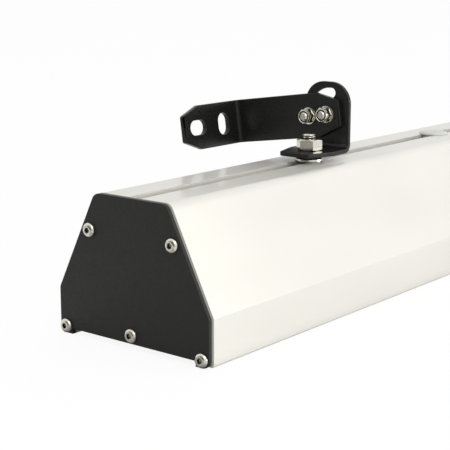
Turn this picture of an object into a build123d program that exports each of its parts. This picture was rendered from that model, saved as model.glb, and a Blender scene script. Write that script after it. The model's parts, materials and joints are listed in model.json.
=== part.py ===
from build123d import *
from math import atan2, cos, radians, sin, tan
import os

os.makedirs("parts", exist_ok=True)

# A surface-mounted linear light: an extruded housing with a black plate on each end,
# LED strips behind clear covers underneath, and a T-slot along the top that carries two
# mounting brackets. Each bracket slides, swivels on its clamp bolt and tilts its arm.
#
# Frame, in mm. The origin is the middle of the light, on the plane of its feet.
# +X runs along the light to its cable end, +Y is the side the arms reach to, +Z is up.

# Overall size of the housing
overall_length = 584.0  # over both end plates
body_width = 100.0
body_height = 76.1
knee_height = 24.2  # the sides are upright below this and lean inwards above it
top_width = 47.6

# Housing profile
wall = 2.2
foot_width = 8.4
foot_height = 2.8  # recess between the feet
foot_block_height = 8.4
centre_foot_width = 10.0
centre_rib = 2.5
web_underside = 14.0  # the LED strips lie against this web
web_thickness = 2.5
profile_top_radius = 6.0
profile_knee_radius = 0.8
profile_foot_radius = 0.5

# T-slot along the top
slot_lip = 4.5
slot_wall = 2.0
slot_side_clearance = 0.3
slot_depth_clearance = 0.4
bolt_entry_clearance = 0.3  # round opening in the lips where the bolt heads go in

# Screw channels, which the end screws cut their thread in
channel_clearance = 0.05
upper_screw_inset = 5.3  # from the sloping outer face
upper_screw_drop = 19.1  # below the top
boss_overlap = 0.8
foot_screw_inset = 4.4  # from the side
foot_screw_height = 4.0
centre_screw_height = 7.2

# End plates and gaskets
plate_thickness = 2.0
gasket_thickness = 1.5
plate_top_radius = 5.0
plate_knee_radius = 3.0
plate_foot_radius = 4.0
plate_hole_clearance = 0.15

# End screws: M4 button heads with a hexagon socket
end_screw_diameter = 4.0
end_screw_length = 16.0
end_screw_head = 7.6
end_screw_head_height = 2.2
end_screw_bevel = 1.2
end_screw_socket_flats = 2.5
end_screw_socket_depth = 1.3

# Clear covers with a bar lens over each row of LEDs
lens_lip = 1.2
lens_centre_groove = 1.8  # depth in the centre foot
lens_side_groove = 1.1  # depth in the foot beside it
lens_thickness = 2.0
lens_side_clearance = 0.3
lens_top_clearance = 0.3
lens_bar_width = 16.0
lens_bar_height = 3.2

# LED boards
board_thickness = 1.6
board_side_gap = 1.0  # to the centre foot's side
board_wall_gap = 5.8  # to the side wall
board_end_gap = 2.5
board_joint_gap = 2.0
chips_per_board = 24
chip_size = 3.0
chip_height = 0.7
board_screw_diameter = 3.0
board_screw_head = 5.5
board_screw_head_height = 1.6
board_screw_end_margin = 0.4
board_screw_clearance = 0.1
board_screw_length_shares = (0.02, 0.98)
board_screw_side_share = 0.3

# Driver and terminal block, in the sealed upper chamber
driver_length = 180.0
driver_headroom = 18.2  # between its cover and the underside of the T-slot
driver_side_clearance = 4.0
driver_cover_thickness = 1.2
driver_flange_length = 12.0
driver_flange_thickness = 2.0
driver_corner_radius = 2.0
driver_offset = 60.0  # towards the front end
driver_screw_spacing = 48.0
driver_screw_diameter = 3.0
driver_screw_head = 6.0
driver_screw_head_height = 2.0
driver_screw_end_margin = 0.4
driver_screw_clearance = 0.1
terminal_length = 18.0
terminal_width = 32.0
terminal_height = 15.0
terminal_gap = 60.0  # between the driver and the terminal block
terminal_poles = 3
terminal_hole_diameter = 4.0
terminal_hole_depth = 8.0

# Cable gland in the rear plate: M20
gland_thread = 20.0
gland_hole_clearance = 0.15
gland_flats = 24.0
gland_flange = 5.0
gland_neck_diameter = 19.0
gland_neck_length = 11.0
gland_bore = 13.0
gland_seal_diameter = 14.4
gland_seal_clearance = 0.1
gland_seal_bore = 9.0
gland_seal_length = 16.0
gland_cap_gap = 1.0
gland_cap_hex_length = 10.0
gland_cap_nose_diameter = 18.0
gland_cap_nose_length = 3.0
gland_cap_clearance = 0.1
gland_cap_opening = 12.4
gland_locknut_height = 5.0
gland_locknut_clearance = 0.1
gland_thread_end = 1.5
gland_gasket_clearance = 1.0
hex_corner_chamfer = 1.0

# Plug that closes the slot's round opening
plug_overlap = 1.45
plug_flange_height = 1.8
plug_flange_bevel = 0.9
plug_clearance = 0.3
plug_wall = 1.5

# Clamp bolt of each bracket: M8, its hexagon head held by the T-slot
clamp_bolt_diameter = 8.0
clamp_head_flats = 13.0
clamp_head_height = 5.3
clamp_nut_flats = 13.0
clamp_nut_height = 6.5
clamp_nut_turn = -9.0  # degrees
clamp_washer_diameter = 16.0
lower_washer_thickness = 1.6
upper_washer_thickness = 1.0
friction_washer_diameter = 14.4
friction_washer_thickness = 1.0
washer_clearance = 0.2
nut_clearance = 0.05
thread_end = 2.9  # bolt end that shows beyond its nut
bracket_spacing = 284.0  # between the two clamp bolts

# Swivel bracket: steel strip bent up into a leg
bracket_thickness = 2.5
bracket_width = 30.4
bracket_bend_radius = 2.5  # inside the bend
leg_distance = 19.5  # clamp bolt to the leg's outer face
base_tip_distance = 15.5
base_tip_width = 19.6
base_taper_distance = 2.3
base_tip_radius = 2.0
leg_top_flat = 5.2
swivel_clearance = 0.1

# Pivot and lock bolts: M5
pivot_diameter = 5.0
pivot_flats = 8.0
pivot_head_height = 3.5
pivot_nut_height = 5.0
pivot_nut_collar_height = 1.4
pivot_nut_collar_bevel = 0.3
pivot_washer_diameter = 10.0
pivot_washer_thickness = 1.0
pivot_thread_end = 0.5
pivot_clearance = 0.1
pivot_offset = 2.0  # the pivot sits this far towards the light's near side
lock_slot_width = 5.6
lock_slot_side_margin = 2.1
lock_slot_top_margin = 3.5

# Tilting arm: flat bar bent at a right angle
arm_thickness = 3.0
arm_width = 26.0
arm_reach = 68.4  # pivot to the wall face
arm_tail = 8.7  # beyond the pivot
arm_wall_length = 53.5
arm_bend_radius = 2.5  # inside the bend
arm_clearance = 2.785  # lowest corner above the housing
arm_rest_angle = 8.1  # degrees below level
arm_travel = 102.0  # degrees upwards
arm_tail_flat = 15.2
arm_tail_slant = 15.2
arm_end_flat = 15.4
arm_end_slant = 14.0
arm_edge_radius = 1.5
wide_hole_length = 14.0
wide_hole_height = 8.8
wide_hole_share = 0.768  # of the wall strap's length
tall_hole_length = 9.6
tall_hole_height = 13.2
tall_hole_share = 0.329

# Modelling values
overrun = 1.0  # how far a cutter passes the face it cuts
thread_chamfer = 0.6
match_distance = 0.01  # two corners closer than this are the same

# Worked out from the sizes above
half_width = body_width / 2
half_top = top_width / 2
lean = atan2(half_width - half_top, body_height - knee_height)
profile_length = overall_length - 2 * (plate_thickness + gasket_thickness)
inner_foot = half_width - foot_width
half_centre = centre_foot_width / 2
web_top = web_underside + web_thickness
lens_seat = foot_height + lens_lip

slot_neck = clamp_bolt_diameter + 2 * slot_side_clearance
slot_cavity = clamp_head_flats + 2 * slot_side_clearance
slot_cavity_depth = clamp_head_height + slot_depth_clearance
slot_ceiling = body_height - slot_lip
slot_floor = slot_ceiling - slot_cavity_depth
slot_underside = slot_floor - slot_wall
clamp_head_corners = clamp_head_flats / cos(radians(30.0))
bolt_entry = clamp_head_corners + 2 * bolt_entry_clearance

driver_height = slot_underside - driver_headroom - driver_cover_thickness - web_top
gland_height = (web_top + slot_underside) / 2

board_inner_edge = half_centre + board_side_gap
board_outer_edge = half_width - wall - board_wall_gap
board_width = board_outer_edge - board_inner_edge
board_centre = (board_outer_edge + board_inner_edge) / 2
board_length = (profile_length - board_joint_gap) / 2 - board_end_gap
board_middle = (board_length + board_joint_gap) / 2

upper_washer_underside = lower_washer_thickness + friction_washer_thickness
base_underside = upper_washer_underside + upper_washer_thickness
base_top = base_underside + bracket_thickness
clamp_bolt_end = base_top + clamp_nut_height + thread_end

lock_radius = bracket_width / 2 + pivot_offset - lock_slot_side_margin - lock_slot_width / 2
rest = radians(arm_rest_angle)
pivot_height = arm_clearance + arm_width / 2 * cos(rest) + arm_reach * sin(rest)
leg_top = pivot_height + lock_radius + lock_slot_width / 2 + lock_slot_top_margin
leg_inner_face = leg_distance - bracket_thickness
arm_outer_face = leg_inner_face - arm_thickness


def half_width_at(height):
    """Half the width of the housing at a height above the knee."""
    return half_width - (height - knee_height) * tan(lean)


def rectangle(left, bottom, right, top):
    middle = Pos((left + right) / 2, (bottom + top) / 2)
    return middle * Rectangle(right - left, top - bottom)


def both_sides(shape):
    return shape + mirror(shape, about=Plane.YZ)


def round_corner(outline, radius, across, up):
    """Round the two corners of a symmetric outline that lie at (+-across, up)."""
    picked = [
        corner
        for corner in outline.vertices()
        if abs(abs(corner.X) - abs(across)) < match_distance and abs(corner.Y - up) < match_distance
    ]
    return fillet(picked, radius)


def ring(outer_diameter, inner_diameter, thickness):
    """A washer standing on z = 0."""
    return extrude(Circle(outer_diameter / 2) - Circle(inner_diameter / 2), amount=thickness)


def hexagon(flats, height, chamfered=0.0):
    """A hexagonal prism on z = 0 whose corners are turned off at both ends."""
    prism = extrude(RegularPolygon(flats / 2, 6, major_radius=False), amount=height)
    if chamfered:
        blank = extrude(Circle(flats / 2 / cos(radians(30.0))), amount=height)
        blank = chamfer(blank.edges().filter_by(GeomType.CIRCLE), chamfered / 2, chamfered)
        prism = prism & blank
    return prism


def hex_bolt(diameter, flats, head_height, length):
    """A bolt whose head hangs below z = 0 and whose thread runs up to z = length."""
    thread = extrude(Circle(diameter / 2), amount=length)
    thread = chamfer(thread.edges().sort_by(Axis.Z)[-1], thread_chamfer)
    return thread + Pos(0, 0, -head_height) * hexagon(flats, head_height)


def hex_nut(diameter, flats, height):
    bore = extrude(Circle(diameter / 2 + nut_clearance), amount=height)
    return hexagon(flats, height, chamfered=(flats / cos(radians(30.0)) - flats) / 2) - bore


def lock_nut(diameter, flats, height, collar_height, collar_bevel):
    """A nut with a round locking collar on top."""
    hexagon_height = height - collar_height
    collar = extrude(Circle(flats / 2), amount=height)
    collar = chamfer(collar.edges().sort_by(Axis.Z)[-1], collar_bevel)
    bore = extrude(Circle(diameter / 2 + nut_clearance), amount=height)
    return hexagon(flats, hexagon_height) + collar - bore


def screw(diameter, length, head_diameter, head_height):
    """A screw whose head stands on z = 0 and whose shank runs down."""
    head = extrude(Circle(head_diameter / 2), amount=head_height)
    return head + Pos(0, 0, -length) * extrude(Circle(diameter / 2), amount=length)


def facing(x, y, z, direction):
    """The plane through a point whose normal points along +X or -X."""
    return Plane(origin=(x, y, z), x_dir=(0, 1, 0), z_dir=(direction, 0, 0))


# Housing

upper_screw_height = body_height - upper_screw_drop
upper_screw_across = half_width_at(upper_screw_height) - upper_screw_inset / cos(lean)
end_screw_points = [
    (upper_screw_across, upper_screw_height),
    (-upper_screw_across, upper_screw_height),
    (half_width - foot_screw_inset, foot_screw_height),
    (foot_screw_inset - half_width, foot_screw_height),
    (0, centre_screw_height),
]


def body_outline(top_radius, knee_radius, foot_radius):
    """The section that the housing, the gaskets and the end plates share, seen along +X."""
    right = [
        (inner_foot, foot_height),
        (inner_foot, 0),
        (half_width, 0),
        (half_width, knee_height),
        (half_top, body_height),
    ]
    left = [(-across, up) for across, up in reversed(right)]
    outline = Polygon(*right, *left, align=None)
    outline = round_corner(outline, top_radius, half_top, body_height)
    outline = round_corner(outline, knee_radius, half_width, knee_height)
    return round_corner(outline, foot_radius, half_width, 0)


def housing_section():
    section = body_outline(profile_top_radius, profile_knee_radius, profile_foot_radius)

    # Upper chamber, with the walls of the T-slot hanging into its ceiling
    shell = Polygon(
        (-half_width, 0),
        (half_width, 0),
        (half_width, knee_height),
        (half_top, body_height),
        (-half_top, body_height),
        (-half_width, knee_height),
        align=None,
    )
    chamber = offset(shell, amount=-wall, kind=Kind.INTERSECTION)
    chamber &= rectangle(-half_width, web_top, half_width, body_height)
    half_slot_box = slot_cavity / 2 + slot_wall
    chamber -= rectangle(-half_slot_box, slot_underside, half_slot_box, body_height)
    section -= chamber

    # Two LED rooms, each open below between grooves for its cover
    led_room = rectangle(centre_rib / 2, foot_block_height, half_width - wall, web_underside)
    mouth = rectangle(half_centre, foot_height, inner_foot, foot_block_height)
    groove = rectangle(
        half_centre - lens_centre_groove,
        lens_seat,
        inner_foot + lens_side_groove,
        lens_seat + lens_thickness + lens_top_clearance,
    )
    section -= both_sides(led_room + mouth + groove)
    boss_wall = foot_screw_height - end_screw_diameter / 2
    centre_block_top = centre_screw_height + end_screw_diameter / 2 + boss_wall
    section += rectangle(-half_centre, foot_block_height, half_centre, centre_block_top)

    # Screw bosses and channels
    boss = upper_screw_inset - wall + boss_overlap
    section += both_sides(Pos(upper_screw_across, upper_screw_height) * Circle(boss))
    for across, up in end_screw_points:
        section -= Pos(across, up) * Circle(end_screw_diameter / 2 + channel_clearance)

    # T-slot
    section -= rectangle(-slot_neck / 2, slot_ceiling, slot_neck / 2, body_height + overrun)
    return section - rectangle(-slot_cavity / 2, slot_floor, slot_cavity / 2, slot_ceiling)


def board_screw_places():
    """(x, y) of the screws of the four boards, by board."""
    places = {}
    for side_name, side in (("left", 1), ("right", -1)):
        for end_name, end in (("front", -1), ("rear", 1)):
            middle = end * board_middle
            places[f"{side_name}_{end_name}"] = [
                (
                    middle + (share - 0.5) * board_length,
                    side * (board_centre + turn * board_screw_side_share * board_width),
                )
                for share, turn in zip(board_screw_length_shares, (-1, 1))
            ]
    return places


driver_middle = -driver_offset
driver_screw_places = [
    (driver_middle + end * (driver_length - driver_flange_length) / 2, side * driver_screw_spacing / 2)
    for end in (-1, 1)
    for side in (-1, 1)
]

housing = extrude(Plane.YZ.offset(-profile_length / 2) * housing_section(), amount=profile_length)
housing -= Pos(0, 0, slot_ceiling) * extrude(Circle(bolt_entry / 2), amount=slot_lip + overrun)
for places in board_screw_places().values():
    for x, y in places:
        hole = Circle(board_screw_diameter / 2 + board_screw_clearance)
        housing -= Pos(x, y, web_underside - overrun) * extrude(hole, amount=web_thickness + 2 * overrun)
for x, y in driver_screw_places:
    hole = Circle(driver_screw_diameter / 2 + driver_screw_clearance)
    housing -= Pos(x, y, web_underside - overrun) * extrude(hole, amount=web_thickness + 2 * overrun)

pieces = {"housing_extrusion": housing}

# End plates, gaskets and screws


def end_sheet(thickness, gland_diameter=0.0):
    """A sheet with the housing's outline, from x = 0 towards +X."""
    sheet = body_outline(plate_top_radius, plate_knee_radius, plate_foot_radius)
    for across, up in end_screw_points:
        sheet -= Pos(across, up) * Circle(end_screw_diameter / 2 + plate_hole_clearance)
    if gland_diameter:
        sheet -= Pos(0, gland_height) * Circle(gland_diameter / 2)
    return extrude(Plane.YZ * sheet, amount=thickness)


def end_screw():
    """A button head screw; its head stands on z = 0."""
    blank = screw(end_screw_diameter, end_screw_length, end_screw_head, end_screw_head_height)
    blank = chamfer(blank.edges().sort_by(Axis.Z)[-1], end_screw_bevel)
    socket = RegularPolygon(end_screw_socket_flats / 2, 6, major_radius=False)
    bottom = Pos(0, 0, end_screw_head_height - end_screw_socket_depth)
    return blank - bottom * extrude(socket, amount=end_screw_socket_depth + overrun)


half_profile = profile_length / 2
half_length = overall_length / 2
locknut_corners = gland_flats / cos(radians(30.0))
gasket_gland_hole = locknut_corners + 2 * gland_gasket_clearance
plate_gland_hole = gland_thread + 2 * gland_hole_clearance

pieces["end_gasket_front"] = Pos(-half_profile - gasket_thickness, 0, 0) * end_sheet(gasket_thickness)
pieces["end_gasket_rear"] = Pos(half_profile, 0, 0) * end_sheet(gasket_thickness, gasket_gland_hole)
pieces["end_plate_front"] = Pos(-half_length, 0, 0) * end_sheet(plate_thickness)
pieces["end_plate_rear"] = Pos(half_length - plate_thickness, 0, 0) * end_sheet(
    plate_thickness, plate_gland_hole
)
for end_name, end in (("front", -1), ("rear", 1)):
    screws = [facing(end * half_length, across, up, end) * end_screw() for across, up in end_screw_points]
    pieces[f"end_screws_{end_name}"] = Compound(screws)

# LED boards, their chips and screws, and the clear covers

chip_pitch = board_length / chips_per_board
board_bottom = web_underside - board_thickness
board_screws = []
for side_name, side in (("left", 1), ("right", -1)):
    chips = []
    for end_name, end in (("front", -1), ("rear", 1)):
        middle = end * board_middle
        board = Pos(middle, side * board_centre, board_bottom) * extrude(
            Rectangle(board_length, board_width), amount=board_thickness
        )
        for x, y in board_screw_places()[f"{side_name}_{end_name}"]:
            hole = Circle(board_screw_diameter / 2 + board_screw_clearance)
            board -= Pos(x, y, board_bottom - overrun) * extrude(hole, amount=board_thickness + 2 * overrun)
            shank = board_thickness + web_thickness - board_screw_end_margin
            upside_down = Pos(x, y, board_bottom) * Rot(180, 0, 0)
            board_screws.append(
                upside_down
                * screw(board_screw_diameter, shank, board_screw_head, board_screw_head_height)
            )
        pieces[f"led_board_{side_name}_{end_name}"] = board
        for index in range(chips_per_board):
            x = middle + (index - (chips_per_board - 1) / 2) * chip_pitch
            chip = extrude(Rectangle(chip_size, chip_size), amount=chip_height)
            chips.append(Pos(x, side * board_centre, board_bottom - chip_height) * chip)
    pieces[f"led_chips_{side_name}"] = Compound(chips)
pieces["board_screws"] = Compound(board_screws)

lens_inner = half_centre - lens_centre_groove + lens_side_clearance
lens_outer = inner_foot + lens_side_groove - lens_side_clearance
lens_top = lens_seat + lens_thickness
bar_radius = ((lens_bar_width / 2) ** 2 + lens_bar_height**2) / (2 * lens_bar_height)
bar = Pos(board_centre, lens_top + lens_bar_height - bar_radius) * Circle(bar_radius)
bar &= rectangle(lens_inner, lens_seat + lens_thickness / 2, lens_outer, lens_top + lens_bar_height)
cover_section = rectangle(lens_inner, lens_seat, lens_outer, lens_top) + bar
cover = extrude(Plane.YZ.offset(-half_profile) * cover_section, amount=profile_length)
pieces["lens_cover_left"] = cover
pieces["lens_cover_right"] = mirror(cover, about=Plane.XZ)

# Driver and terminal block

driver_top = web_top + driver_height
inner_half_at_driver = half_width_at(driver_top + driver_cover_thickness) - wall / cos(lean)
driver_width = 2 * (inner_half_at_driver - driver_side_clearance)
case_length = driver_length - 2 * driver_flange_length
case_outline = Rectangle(case_length, driver_width)
case_outline = fillet(case_outline.vertices(), driver_corner_radius)
driver_case = extrude(case_outline, amount=driver_height)
driver_case += extrude(Rectangle(driver_length, driver_width), amount=driver_flange_thickness)
driver_case = Pos(driver_middle, 0, web_top) * driver_case
driver_screws = []
for x, y in driver_screw_places:
    hole = Circle(driver_screw_diameter / 2 + driver_screw_clearance)
    driver_case -= Pos(x, y, web_top - overrun) * extrude(hole, amount=driver_flange_thickness + 2 * overrun)
    shank = driver_flange_thickness + web_thickness - driver_screw_end_margin
    driver_screws.append(
        Pos(x, y, web_top + driver_flange_thickness)
        * screw(driver_screw_diameter, shank, driver_screw_head, driver_screw_head_height)
    )
pieces["driver_case"] = driver_case
pieces["driver_cover"] = Pos(driver_middle, 0, driver_top) * extrude(
    case_outline, amount=driver_cover_thickness
)
pieces["driver_screws"] = Compound(driver_screws)

terminal_middle = driver_middle + driver_length / 2 + terminal_gap + terminal_length / 2
terminal = extrude(Rectangle(terminal_length, terminal_width), amount=terminal_height)
for pole in range(terminal_poles):
    across = (pole - (terminal_poles - 1) / 2) * terminal_width / terminal_poles
    wire_way = facing(terminal_length / 2, across, terminal_height / 2, -1)
    terminal -= wire_way * extrude(Circle(terminal_hole_diameter / 2), amount=terminal_hole_depth)
pieces["terminal_block"] = Pos(terminal_middle, 0, web_top) * terminal

# Cable gland, built along +Z from the plate's outer face and then laid along +X

gland_reach = plate_thickness + gland_locknut_height + gland_thread_end
gland_body = Pos(0, 0, -gland_reach) * extrude(Circle(gland_thread / 2), amount=gland_reach)
gland_body += hexagon(gland_flats, gland_flange, chamfered=hex_corner_chamfer)
gland_body += extrude(Circle(gland_neck_diameter / 2), amount=gland_flange + gland_neck_length)
gland_body -= Pos(0, 0, -gland_reach) * extrude(
    Circle(gland_bore / 2), amount=gland_reach + gland_flange + gland_neck_length
)
seal_pocket = Circle(gland_seal_diameter / 2 + gland_seal_clearance)
gland_body -= Pos(0, 0, gland_flange) * extrude(seal_pocket, amount=gland_neck_length)
seal = Pos(0, 0, gland_flange) * ring(gland_seal_diameter, gland_seal_bore, gland_seal_length)

cap_start = gland_flange + gland_cap_gap
cap_step = cap_start + gland_cap_hex_length
seal_end = gland_flange + gland_seal_length
cap_end = seal_end + gland_cap_nose_length
cap = Pos(0, 0, cap_start) * hexagon(gland_flats, gland_cap_hex_length, chamfered=hex_corner_chamfer)
nose = Pos(0, 0, cap_step) * Circle(gland_flats / 2)
nose_end = Pos(0, 0, cap_end) * Circle(gland_cap_nose_diameter / 2)
cap += loft([nose, nose_end])
cap -= Pos(0, 0, cap_start) * extrude(
    Circle(gland_neck_diameter / 2 + gland_cap_clearance),
    amount=gland_flange + gland_neck_length - cap_start,
)
cap -= Pos(0, 0, cap_start) * extrude(seal_pocket, amount=seal_end - cap_start)
cap -= Pos(0, 0, seal_end) * extrude(Circle(gland_cap_opening / 2), amount=gland_cap_nose_length)
locknut_bore = Circle(gland_thread / 2 + gland_locknut_clearance)
locknut = hexagon(gland_flats, gland_locknut_height, chamfered=hex_corner_chamfer)
locknut -= extrude(locknut_bore, amount=gland_locknut_height)
locknut = Pos(0, 0, -plate_thickness - gland_locknut_height) * locknut

at_gland = facing(half_length, 0, gland_height, 1)
pieces["gland_body"] = at_gland * gland_body
pieces["gland_seal"] = at_gland * seal
pieces["gland_cap"] = at_gland * cap
pieces["gland_locknut"] = at_gland * locknut

# Slot plug: a cup that hangs in the round opening from its flange

flange = extrude(Circle(bolt_entry / 2 + plug_overlap), amount=plug_flange_height)
flange = chamfer(flange.edges().sort_by(Axis.Z)[-1], plug_flange_bevel)
stem_diameter = bolt_entry - 2 * plug_clearance
plug = flange + Pos(0, 0, -slot_lip) * ring(stem_diameter, stem_diameter - 2 * plug_wall, slot_lip)
pieces["slot_plug"] = Pos(0, 0, body_height) * plug

# Brackets, each built with its clamp bolt on x = y = 0 and the housing's top on z = 0.
# The leg stands on the +X side of the bolt.


def swivel_bracket():
    side = [
        (-base_tip_distance, base_underside),
        (leg_distance, base_underside),
        (leg_distance, leg_top),
        (leg_inner_face, leg_top),
        (leg_inner_face, base_top),
        (-base_tip_distance, base_top),
    ]
    folded = extrude(Plane.XZ * Polygon(*side, align=None), amount=bracket_width / 2, both=True)
    crosswise = folded.edges().filter_by(Axis.Y)
    inner_bend = crosswise.sort_by_distance((leg_inner_face, 0, base_top))[0]
    folded = fillet(inner_bend, bracket_bend_radius)
    crosswise = folded.edges().filter_by(Axis.Y)
    outer_bend = crosswise.sort_by_distance((leg_distance, 0, base_underside))[0]
    folded = fillet(outer_bend, bracket_bend_radius + bracket_thickness)

    half_bracket = bracket_width / 2
    half_tip = base_tip_width / 2
    plan = Polygon(
        (-base_tip_distance, -half_tip),
        (base_taper_distance, -half_bracket),
        (leg_distance, -half_bracket),
        (leg_distance, half_bracket),
        (base_taper_distance, half_bracket),
        (-base_tip_distance, half_tip),
        align=None,
    )
    tip = [corner for corner in plan.vertices() if abs(corner.X + base_tip_distance) < match_distance]
    plan = fillet(tip, base_tip_radius)
    folded &= extrude(plan, amount=leg_top)

    face = rectangle(-half_bracket, 0, half_bracket, leg_top)
    face = round_corner(face, (bracket_width - leg_top_flat) / 2, half_bracket, leg_top)
    face -= Pos(-pivot_offset, pivot_height) * Circle(pivot_diameter / 2 + pivot_clearance)
    lock_path = CenterArc((-pivot_offset, pivot_height), lock_radius, -arm_rest_angle, arm_travel)
    face -= SlotArc(lock_path, lock_slot_width)
    shadow = Plane.YZ.offset(leg_inner_face) * face
    leg = folded & extrude(shadow, amount=bracket_thickness)
    beyond = Pos(leg_inner_face - leg_top, 0, 0) * Box(
        2 * leg_top, 2 * bracket_width, 2 * leg_top
    )
    base = folded & beyond
    bolt_hole = Circle(clamp_bolt_diameter / 2 + swivel_clearance)
    return leg + base - Pos(0, 0, base_underside - overrun) * extrude(
        bolt_hole, amount=bracket_thickness + 2 * overrun
    )


def tilting_arm():
    """The arm, level, in the bracket's frame: one strap along the leg and one along the wall."""
    strap_top = arm_reach - arm_thickness
    wall_end = leg_inner_face - arm_wall_length
    plan = Polygon(
        (leg_inner_face, -arm_tail),
        (leg_inner_face, arm_reach),
        (wall_end, arm_reach),
        (wall_end, strap_top),
        (arm_outer_face, strap_top),
        (arm_outer_face, -arm_tail),
        align=None,
    )
    bar = extrude(plan, amount=arm_width / 2, both=True)
    upright = bar.edges().filter_by(Axis.Z)
    bar = fillet(upright.sort_by_distance((arm_outer_face, strap_top, 0))[0], arm_bend_radius)
    upright = bar.edges().filter_by(Axis.Z)
    outer_bend = upright.sort_by_distance((leg_inner_face, arm_reach, 0))[0]
    bar = fillet(outer_bend, arm_bend_radius + arm_thickness)

    # Outline of the strap on the leg, seen along +X, with its two slanted corners and holes
    half_arm = arm_width / 2
    strap = Polygon(
        (-arm_tail, -arm_tail_flat / 2),
        (arm_tail_slant - arm_tail, -half_arm),
        (arm_reach, -half_arm),
        (arm_reach, half_arm),
        (arm_tail_slant - arm_tail, half_arm),
        (-arm_tail, arm_tail_flat / 2),
        align=None,
    )
    tail = [corner for corner in strap.vertices() if abs(corner.X + arm_tail) < match_distance]
    strap = fillet(tail, arm_edge_radius)
    strap -= Circle(pivot_diameter / 2 + pivot_clearance)
    strap -= Pos(lock_radius, 0) * Circle(pivot_diameter / 2 + pivot_clearance)
    bar &= extrude(Plane.YZ.offset(wall_end) * strap, amount=arm_wall_length)

    # Outline of the strap on the wall, seen along -Y, with its slanted corners and oblong holes
    wall_strap = Polygon(
        (wall_end, -arm_end_flat / 2),
        (wall_end + arm_end_slant, -half_arm),
        (leg_inner_face, -half_arm),
        (leg_inner_face, half_arm),
        (wall_end + arm_end_slant, half_arm),
        (wall_end, arm_end_flat / 2),
        align=None,
    )
    end = [corner for corner in wall_strap.vertices() if abs(corner.X - wall_end) < match_distance]
    wall_strap = fillet(end, arm_edge_radius)
    wide_hole = leg_inner_face - wide_hole_share * arm_wall_length
    tall_hole = leg_inner_face - tall_hole_share * arm_wall_length
    holes = Pos(wide_hole, 0) * SlotOverall(wide_hole_length, wide_hole_height)
    holes += Pos(tall_hole, 0) * Rot(0, 0, 90) * SlotOverall(tall_hole_height, tall_hole_length)
    bar &= Plane.XZ.offset(-arm_reach) * extrude(wall_strap, amount=arm_reach + arm_tail)
    return bar - Plane.XZ.offset(-arm_reach - overrun) * extrude(holes, amount=arm_thickness + 2 * overrun)


def across_leg(part, x, radius=0.0):
    """Turn a fastener along -X, with its z = 0 at x, on the pivot or beside it."""
    place = facing(x, radius, 0, -1)
    return place * part


leg_washer_seat = leg_distance + pivot_washer_thickness
arm_washer_seat = arm_outer_face - pivot_washer_thickness
pivot_bolt_length = leg_washer_seat - arm_washer_seat + pivot_nut_height + pivot_thread_end


def pivot_set(radius):
    """Bolt, nut and two washers through the leg and the arm, at a distance from the pivot."""
    washer = ring(pivot_washer_diameter, pivot_diameter + 2 * washer_clearance, pivot_washer_thickness)
    bolt = hex_bolt(pivot_diameter, pivot_flats, pivot_head_height, pivot_bolt_length)
    nut = lock_nut(
        pivot_diameter, pivot_flats, pivot_nut_height, pivot_nut_collar_height, pivot_nut_collar_bevel
    )
    washers = [
        across_leg(washer, leg_washer_seat, radius),
        across_leg(washer, arm_outer_face, radius),
    ]
    return (
        across_leg(bolt, leg_washer_seat, radius),
        across_leg(nut, arm_washer_seat, radius),
        Compound(washers),
    )


washer_bore = clamp_bolt_diameter + 2 * washer_clearance
lower_washer = ring(clamp_washer_diameter, washer_bore, lower_washer_thickness)
friction_washer = ring(friction_washer_diameter, washer_bore, friction_washer_thickness)
upper_washer = ring(clamp_washer_diameter, washer_bore, upper_washer_thickness)
clamp_bolt = Pos(0, 0, -slot_lip) * hex_bolt(
    clamp_bolt_diameter, clamp_head_flats, clamp_head_height, slot_lip + clamp_bolt_end
)
clamp_nut = hex_nut(clamp_bolt_diameter, clamp_nut_flats, clamp_nut_height)
bracket = swivel_bracket()
arm = tilting_arm()
pivot_bolt, pivot_nut, pivot_washers = pivot_set(0)
lock_bolt, lock_nut_piece, lock_washers = pivot_set(lock_radius)

# The front arm lies on the leg's inner face. The rear one is turned over onto the outer
# face, so each arm points to its own end of the light.
leg_middle = (leg_inner_face + leg_distance) / 2
turned_over = Pos(leg_middle, 0, 0) * Rot(0, 180, 0) * Pos(-leg_middle, 0, 0)
for end_name, end, turned in (("front", -1, Pos(0, 0, 0)), ("rear", 1, turned_over)):
    on_slot = Pos(end * bracket_spacing / 2, 0, body_height)
    on_pivot = on_slot * Pos(0, -pivot_offset, pivot_height)
    at_rest = on_pivot * Rot(-arm_rest_angle, 0, 0)
    bracket_pieces = {
        "lower_washer": on_slot * lower_washer,
        "friction_washer": on_slot * Pos(0, 0, lower_washer_thickness) * friction_washer,
        "upper_washer": on_slot * Pos(0, 0, upper_washer_underside) * upper_washer,
        "clamp_bolt": on_slot * clamp_bolt,
        "clamp_nut": on_slot * Pos(0, 0, base_top) * Rot(0, 0, clamp_nut_turn) * clamp_nut,
        "swivel_bracket": on_slot * bracket,
        "pivot_bolt": on_pivot * turned * pivot_bolt,
        "pivot_nut": on_pivot * turned * pivot_nut,
        "pivot_washers": on_pivot * turned * pivot_washers,
        "arm": at_rest * turned * arm,
        "lock_bolt": at_rest * turned * lock_bolt,
        "lock_nut": at_rest * turned * lock_nut_piece,
        "lock_washers": at_rest * turned * lock_washers,
    }
    for name, piece in bracket_pieces.items():
        pieces[f"{name}_{end_name}"] = piece

for name, piece in pieces.items():
    export_step(piece, f"parts/{name}.step")
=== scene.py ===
import json
import math

import bmesh
import bpy
from mathutils import Matrix, Vector


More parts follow.
